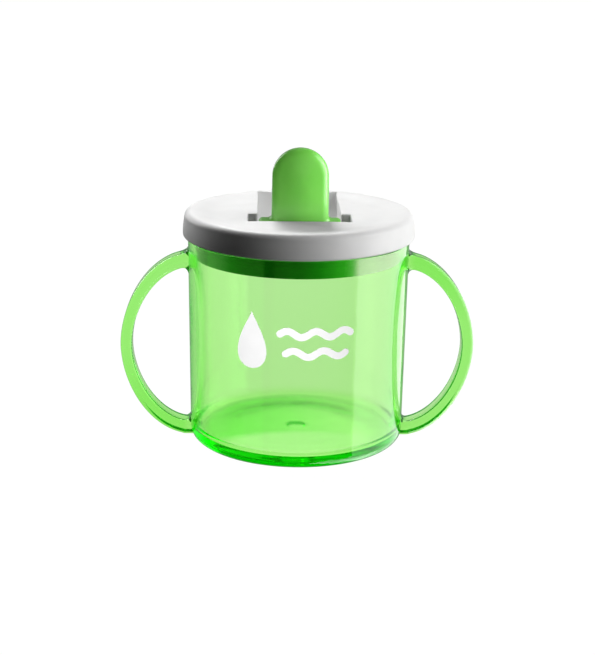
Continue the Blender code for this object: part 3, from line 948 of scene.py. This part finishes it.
def moulded(name, dark, light, rough, grain, scatter=None, gloss=0.0, specular=0.5):
    """Satin plastic with faint clouds and a fine grain.

    scatter holds the subsurface weight, radius and scale.
    """
    mat, g, bsdf, _ = new_material(name)
    co = g.coords()
    cloud = g.noise(co, scale=120.0, detail=3.0)
    patches = g.noise(co, scale=420.0, detail=4.0, rough=0.6)
    fine = g.noise(co, scale=5200.0, detail=2.0, rough=0.6)
    soft = g.noise(co, scale=140.0, detail=1.0, rough=0.4)
    waviness = g.bump(soft, strength=0.03, distance=0.002)
    g.feed(bsdf, {
        "Base Color": g.mix_colour(g.remap(cloud, source=(0.3, 0.7)), dark, light),
        "Roughness": g.remap(patches, source=(0.3, 0.7), target=(rough - 0.05, rough + 0.06)),
        "Normal": g.bump(fine, strength=grain, distance=0.00004, normal=waviness),
        "IOR": PLASTIC_IOR,
        "Specular IOR Level": specular,
    })
    if gloss:
        g.feed(bsdf, {"Coat Weight": gloss, "Coat Roughness": 0.16})
    if scatter:
        weight, radius, scale = scatter
        g.feed(bsdf, {"Subsurface Weight": weight, "Subsurface Radius": radius,
                      "Subsurface Scale": scale})
    return mat


def paint_light_on_plug(mat):
    """Painted light and shade on the plug where it is seen through the clear wall: a glow stands in
    for light piped along that wall, and a dark green base colour for shade.
    """
    g = Graph(mat.node_tree)
    bsdf = mat.node_tree.nodes["Principled BSDF"]
    colour = bsdf.inputs["Base Color"].links[0].from_socket
    scatter = bsdf.inputs["Subsurface Weight"].default_value
    through = g.math("MULTIPLY", g.ray("Is Transmission Ray"),
                     g.math("LESS_THAN", g.ray("Diffuse Depth"), 0.5))
    x, y, _ = g.split(g.coords())
    stops = [((place_x + GLOW_HALF) / (2 * GLOW_HALF), tint) for place_x, tint in PLUG_PAINTED_GLOW]
    glow = g.ramp(g.remap(x, source=(-0.033, 0.033)), stops)
    front = g.remap(y, source=(-0.012, -0.004), target=(1.0, 0.0))
    seen = g.math("MULTIPLY", through, front)
    # painted shade: left of x = 13-17 mm the plug's base colour turns dark green where seen through
    # the wall
    plug_shade_mask = g.math("MULTIPLY", seen, g.remap(x, source=(0.013, 0.017), target=(1.0, 0.0)))
    g.feed(bsdf, {
        "Emission Color": glow,
        "Emission Strength": seen,
        "Base Color": g.mix_colour(plug_shade_mask, colour, PLUG_PAINTED_SHADE),
        "Subsurface Weight": g.remap(through, target=(scatter, 0.0)),
    })


def plain_bounce(mat):
    """The spout lights the lid round it with a plainer colour than it shows."""
    g = Graph(mat.node_tree)
    bsdf = mat.node_tree.nodes["Principled BSDF"]
    colour = bsdf.inputs["Base Color"].links[0].from_socket
    bounce = g.math("MAXIMUM", g.ray("Is Diffuse Ray"), g.ray("Is Glossy Ray"))
    plain = g.mix_colour(g.math("MULTIPLY", bounce, 0.9), colour, BOUNCE_GREY)
    g.feed(bsdf, {"Base Color": plain})


clear_mat = clear_green()
white_mat = moulded("white_plastic", dark=(0.78, 0.78, 0.775), light=(0.82, 0.82, 0.815),
                    rough=0.46, grain=0.12, scatter=(0.12, (1.0, 0.95, 0.9), 0.0012),
                    specular=0.35)
solid_mat = moulded("solid_green_plastic", dark=(0.17, 0.60, 0.074), light=(0.195, 0.645, 0.086),
                    rough=0.34, grain=0.12, scatter=(0.35, (0.55, 1.0, 0.35), 0.0022), gloss=0.5)
ink_mat = moulded("print_white", dark=(0.86, 0.86, 0.86), light=(0.9, 0.9, 0.9),
                  rough=0.45, grain=0.2)
paint_light_on_plug(white_mat)
plain_bounce(solid_mat)

for piece, material in ((cup, clear_mat), (lid, white_mat), (spout, solid_mat),
                        (drop, ink_mat), (waves, ink_mat)):
    piece.data.materials.clear()
    piece.data.materials.append(material)

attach(cup, "cup")
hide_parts("cup_body")
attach(lid, "lid")
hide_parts("lid")
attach(spout, "spout")
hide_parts("spout")
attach(drop, "cup")
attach(waves, "cup")


# ----------------------------------------------------------------------- stage
THROUGH = 0.90               # white backdrop as seen through the clear plastic
BACKDROP = 1.02              # and straight from the camera
FLOOR_GLOW = 1.0
POOL_GLOW = 1.14             # pool of light under the cup
WORLD_FRONT = 0.035
WORLD_BACK = 1.0
WORLD_EDGE = (0.25, 0.75)    # direction y over which the world brightens
RIM_DIM = 0.35               # world strength for mirror-like rays
CAUGHT_FILL = 0.35
# pool colours from left to right, greener on the left as painted shade, and in its pale front part
POOL_ACROSS = ((0.0, (0.40, 0.84, 0.32)), (0.45, (0.58, 0.90, 0.52)), (1.0, (1.0, 0.98, 1.0)))
POOL_PALE = (1.12, 0.97, 1.25)


def seen_directly(g):
    """1 for rays straight from the camera, or through clear plastic only."""
    camera = g.math("MAXIMUM", g.ray("Is Camera Ray"), g.ray("Is Transmission Ray"))
    return g.math("MULTIPLY", camera, g.math("LESS_THAN", g.ray("Diffuse Depth"), 0.5))


def backdrop_mask(g):
    """1 for directly seen rays that lead away from the camera, 0 for those that come back."""
    direct = seen_directly(g)
    incoming = g.node("ShaderNodeNewGeometry").outputs["Incoming"]
    turned_ray = g.node("ShaderNodeVectorTransform", {0: incoming}, vector_type="VECTOR",
                        convert_from="WORLD", convert_to="CAMERA").outputs[0]
    away = g.math("MULTIPLY", g.split(turned_ray)[2], -1.0)
    return g.math("MULTIPLY", direct, g.remap(away, source=(-0.15, 0.25), curve="SMOOTHSTEP"))


def floor_material():
    mat, g, bsdf, out = new_material("floor_card")
    co = g.coords()
    x, y, _ = g.split(co)
    straight = g.ray("Is Camera Ray")
    # light gathered by the cup falls in a soft pool under it, seen through the clear base
    off = g.node("ShaderNodeVectorMath", {0: co, 1: (0.0, -0.006, 0.0)}, operation="DISTANCE")
    pool = g.remap(off.outputs["Value"], source=(0.031, 0.018),
                   target=(THROUGH * 0.98, POOL_GLOW), curve="SMOOTHSTEP")
    # the painted pool is palest in an ellipse in front and greener, as painted shade, behind and to
    # the left
    dx = g.math("DIVIDE", g.math("SUBTRACT", x, 0.003), 0.030)
    dy = g.math("DIVIDE", g.math("ADD", y, 0.020), 0.0155)
    reach = g.math("SQRT", g.math("ADD", g.math("MULTIPLY", dx, dx), g.math("MULTIPLY", dy, dy)))
    across = g.ramp(g.remap(x, source=(-0.020, 0.018)), POOL_ACROSS)
    pale = g.mix_colour(g.remap(reach, source=(0.86, 1.12)), POOL_PALE, across)
    middle = g.node("ShaderNodeVectorMath", {0: co}, operation="LENGTH").outputs["Value"]
    tinted = g.math("MULTIPLY", g.remap(middle, source=(0.029, 0.034), target=(1.0, 0.0)),
                    g.math("SUBTRACT", 1.0, straight))
    g.feed(bsdf, {
        "Base Color": g.mix_colour(g.noise(co, scale=300.0, detail=3.0),
                                   (0.05, 0.05, 0.05), (0.06, 0.06, 0.06)),
        "Roughness": 0.9,
        "Specular IOR Level": 0.0,
        "Emission Strength": g.mix_value(straight, pool, FLOOR_GLOW),
        "Emission Color": g.mix_colour(tinted, (1.0, 1.0, 1.0), pale),
    })
    clear = g.node("ShaderNodeBsdfTransparent")
    g.feed(out, {"Surface": g.mix_shader(backdrop_mask(g), clear.outputs[0], bsdf.outputs[0])})
    return mat


def make_floor():
    bm = bmesh.new()
    bmesh.ops.create_grid(bm, x_segments=1, y_segments=1, size=6.0)
    floor = link("floor", bm)
    floor.location = (0, 0, -0.0001)
    floor.data.materials.append(floor_material())


def make_world():
    world = bpy.data.worlds.new("studio")
    bpy.context.scene.world = world
    world.use_nodes = True
    world.node_tree.nodes.clear()
    g = Graph(world.node_tree)
    out = g.node("ShaderNodeOutputWorld")
    y = g.split(g.node("ShaderNodeTexCoord").outputs["Generated"])[1]
    # light for the object: bright behind, dim in front, and dimmed for mirror-like rays
    behind = g.remap(y, source=WORLD_EDGE, target=(WORLD_FRONT, WORLD_BACK), curve="SMOOTHSTEP")
    dimmed = g.remap(g.ray("Is Glossy Ray"), target=(1.0, RIM_DIM))
    light = g.node("ShaderNodeBackground", {"Strength": g.math("MULTIPLY", behind, dimmed)})
    # light caught inside the clear plastic comes out green
    caught = g.node("ShaderNodeBackground", {"Color": (0.10, 1.0, 0.05),
                                             "Strength": CAUGHT_FILL})
    lit = g.mix_shader(seen_directly(g), light.outputs[0], caught.outputs[0])
    # what is seen behind the object: plain white
    strength = g.remap(g.ray("Is Camera Ray"), target=(THROUGH, BACKDROP))
    white = g.node("ShaderNodeBackground", {"Color": (1, 1, 1), "Strength": strength})
    g.feed(out, {"Surface": g.mix_shader(backdrop_mask(g), lit, white.outputs[0])})


# ------------------------------------------------------------ lights and camera
LIGHT_AIM = Vector((0.0, 0.0, 0.045))
CAUGHT = (0.16, 1.0, 0.08)   # light caught in the clear wall keeps its edges green
# name, azimuth (0 in front, 90 to the right), elevation, distance (m), size (m), radiance, options
LIGHTS = (
    ("softbox_right", 78, 8, 0.75, (0.70, 1.3), 3.4, dict(only=(lid, spout))),
    ("softbox_cup", 104, -5, 0.75, (1.35, 2.2), 2.0, dict(only=(cup,), seen_through=True)),
    ("strip_back_left", -132, 26, 0.8, (0.30, 0.6), 4.0, {}),
    ("key_back", -166, 46, 1.1, (0.38, 0.16), 42.0, dict(only=(lid, cup))),
    ("top_fill", 180, 75, 0.9, (0.6, 0.6), 0.35, {}),
    ("print_fill", -6, 25, 0.6, (0.3, 0.3), 16.0, dict(only=(drop, waves))),
    ("spout_fill", 8, 12, 0.6, (0.30, 0.35), 4.1, dict(only=(spout,), glossy=False)),
    ("spout_strip", 78, 12, 0.55, (0.10, 0.5), 9.0, dict(only=(spout,))),
    ("edge_left", -72, 4, 0.75, (1.1, 1.5), 0.9, dict(only=(cup,), colour=CAUGHT)),
    ("edge_front", 16, -35, 0.9, (1.6, 0.8), 0.40, dict(only=(cup,), colour=CAUGHT)),
    ("table_right", 72, -56, 0.8, (0.9, 0.42), 2.8, dict(only=(cup,))),
)

CAMERA_LENS = 82.1459542     # mm, on a 36 mm sensor
CAMERA_DISTANCE = 500.0      # mm
CAMERA_AZIMUTH = -1.6        # degrees
CAMERA_ELEVATION = 16.28
CAMERA_ROLL = 0.86
CAMERA_AIM_RIGHT = 0.03      # mm
CAMERA_AIM_Z = 37.06


def view_way(azimuth, elevation):
    """Unit vector from the object towards a light or the camera, angles in degrees."""
    a = math.radians(azimuth)
    e = math.radians(elevation)
    return Vector((math.sin(a) * math.cos(e), -math.cos(a) * math.cos(e), math.sin(e)))


def area(name, azimuth, elevation, distance, size, radiance, only=None, seen_through=False,
         glossy=True, colour=(1.0, 1.0, 1.0)):
    """A soft light given by its radiance; it reaches every object unless only is given."""
    data = bpy.data.lights.new(name, "AREA")
    data.shape = "RECTANGLE"
    data.size, data.size_y = size
    data.energy = radiance * math.pi * size[0] * size[1]
    data.color = colour
    obj = place(name, data)
    way = view_way(azimuth, elevation)
    obj.location = LIGHT_AIM + way * distance
    obj.rotation_mode = "QUATERNION"
    obj.rotation_quaternion = way.to_track_quat("Z", "Y")
    obj.visible_camera = False
    obj.visible_transmission = seen_through
    obj.visible_glossy = glossy
    if only:
        group = bpy.data.collections.new(name + "_only")
        for receiver in only:
            group.objects.link(receiver)
        obj.light_linking.receiver_collection = group


def make_camera():
    data = bpy.data.cameras.new("camera")
    data.sensor_width = 36.0
    data.lens = CAMERA_LENS
    data.clip_start = 0.01
    data.clip_end = 50.0
    cam = place("camera", data)
    a = math.radians(CAMERA_AZIMUTH)
    back = view_way(CAMERA_AZIMUTH, CAMERA_ELEVATION)
    right = Vector((math.cos(a), math.sin(a), 0.0))
    target = right * (CAMERA_AIM_RIGHT * MM) + Vector((0, 0, CAMERA_AIM_Z * MM))
    cam.location = target + back * (CAMERA_DISTANCE * MM)
    aim = (-back).to_track_quat("-Z", "Y").to_matrix().to_4x4()
    roll = Matrix.Rotation(math.radians(CAMERA_ROLL), 4, "Z")
    cam.rotation_mode = "QUATERNION"
    cam.rotation_quaternion = (aim @ roll).to_quaternion()
    bpy.context.scene.camera = cam


make_floor()
make_world()
for *light_values, options in LIGHTS:
    area(*light_values, **options)
make_camera()

# clear thick plastic needs long light paths
rays = bpy.context.scene.cycles
rays.max_bounces = 40
rays.transmission_bounces = 40
rays.glossy_bounces = 32
rays.diffuse_bounces = 4

view = bpy.context.scene.view_settings
view.view_transform = "Standard"
view.look = "None"
view.exposure = 0.0
view.gamma = 1.0

bpy.context.view_layer.update()
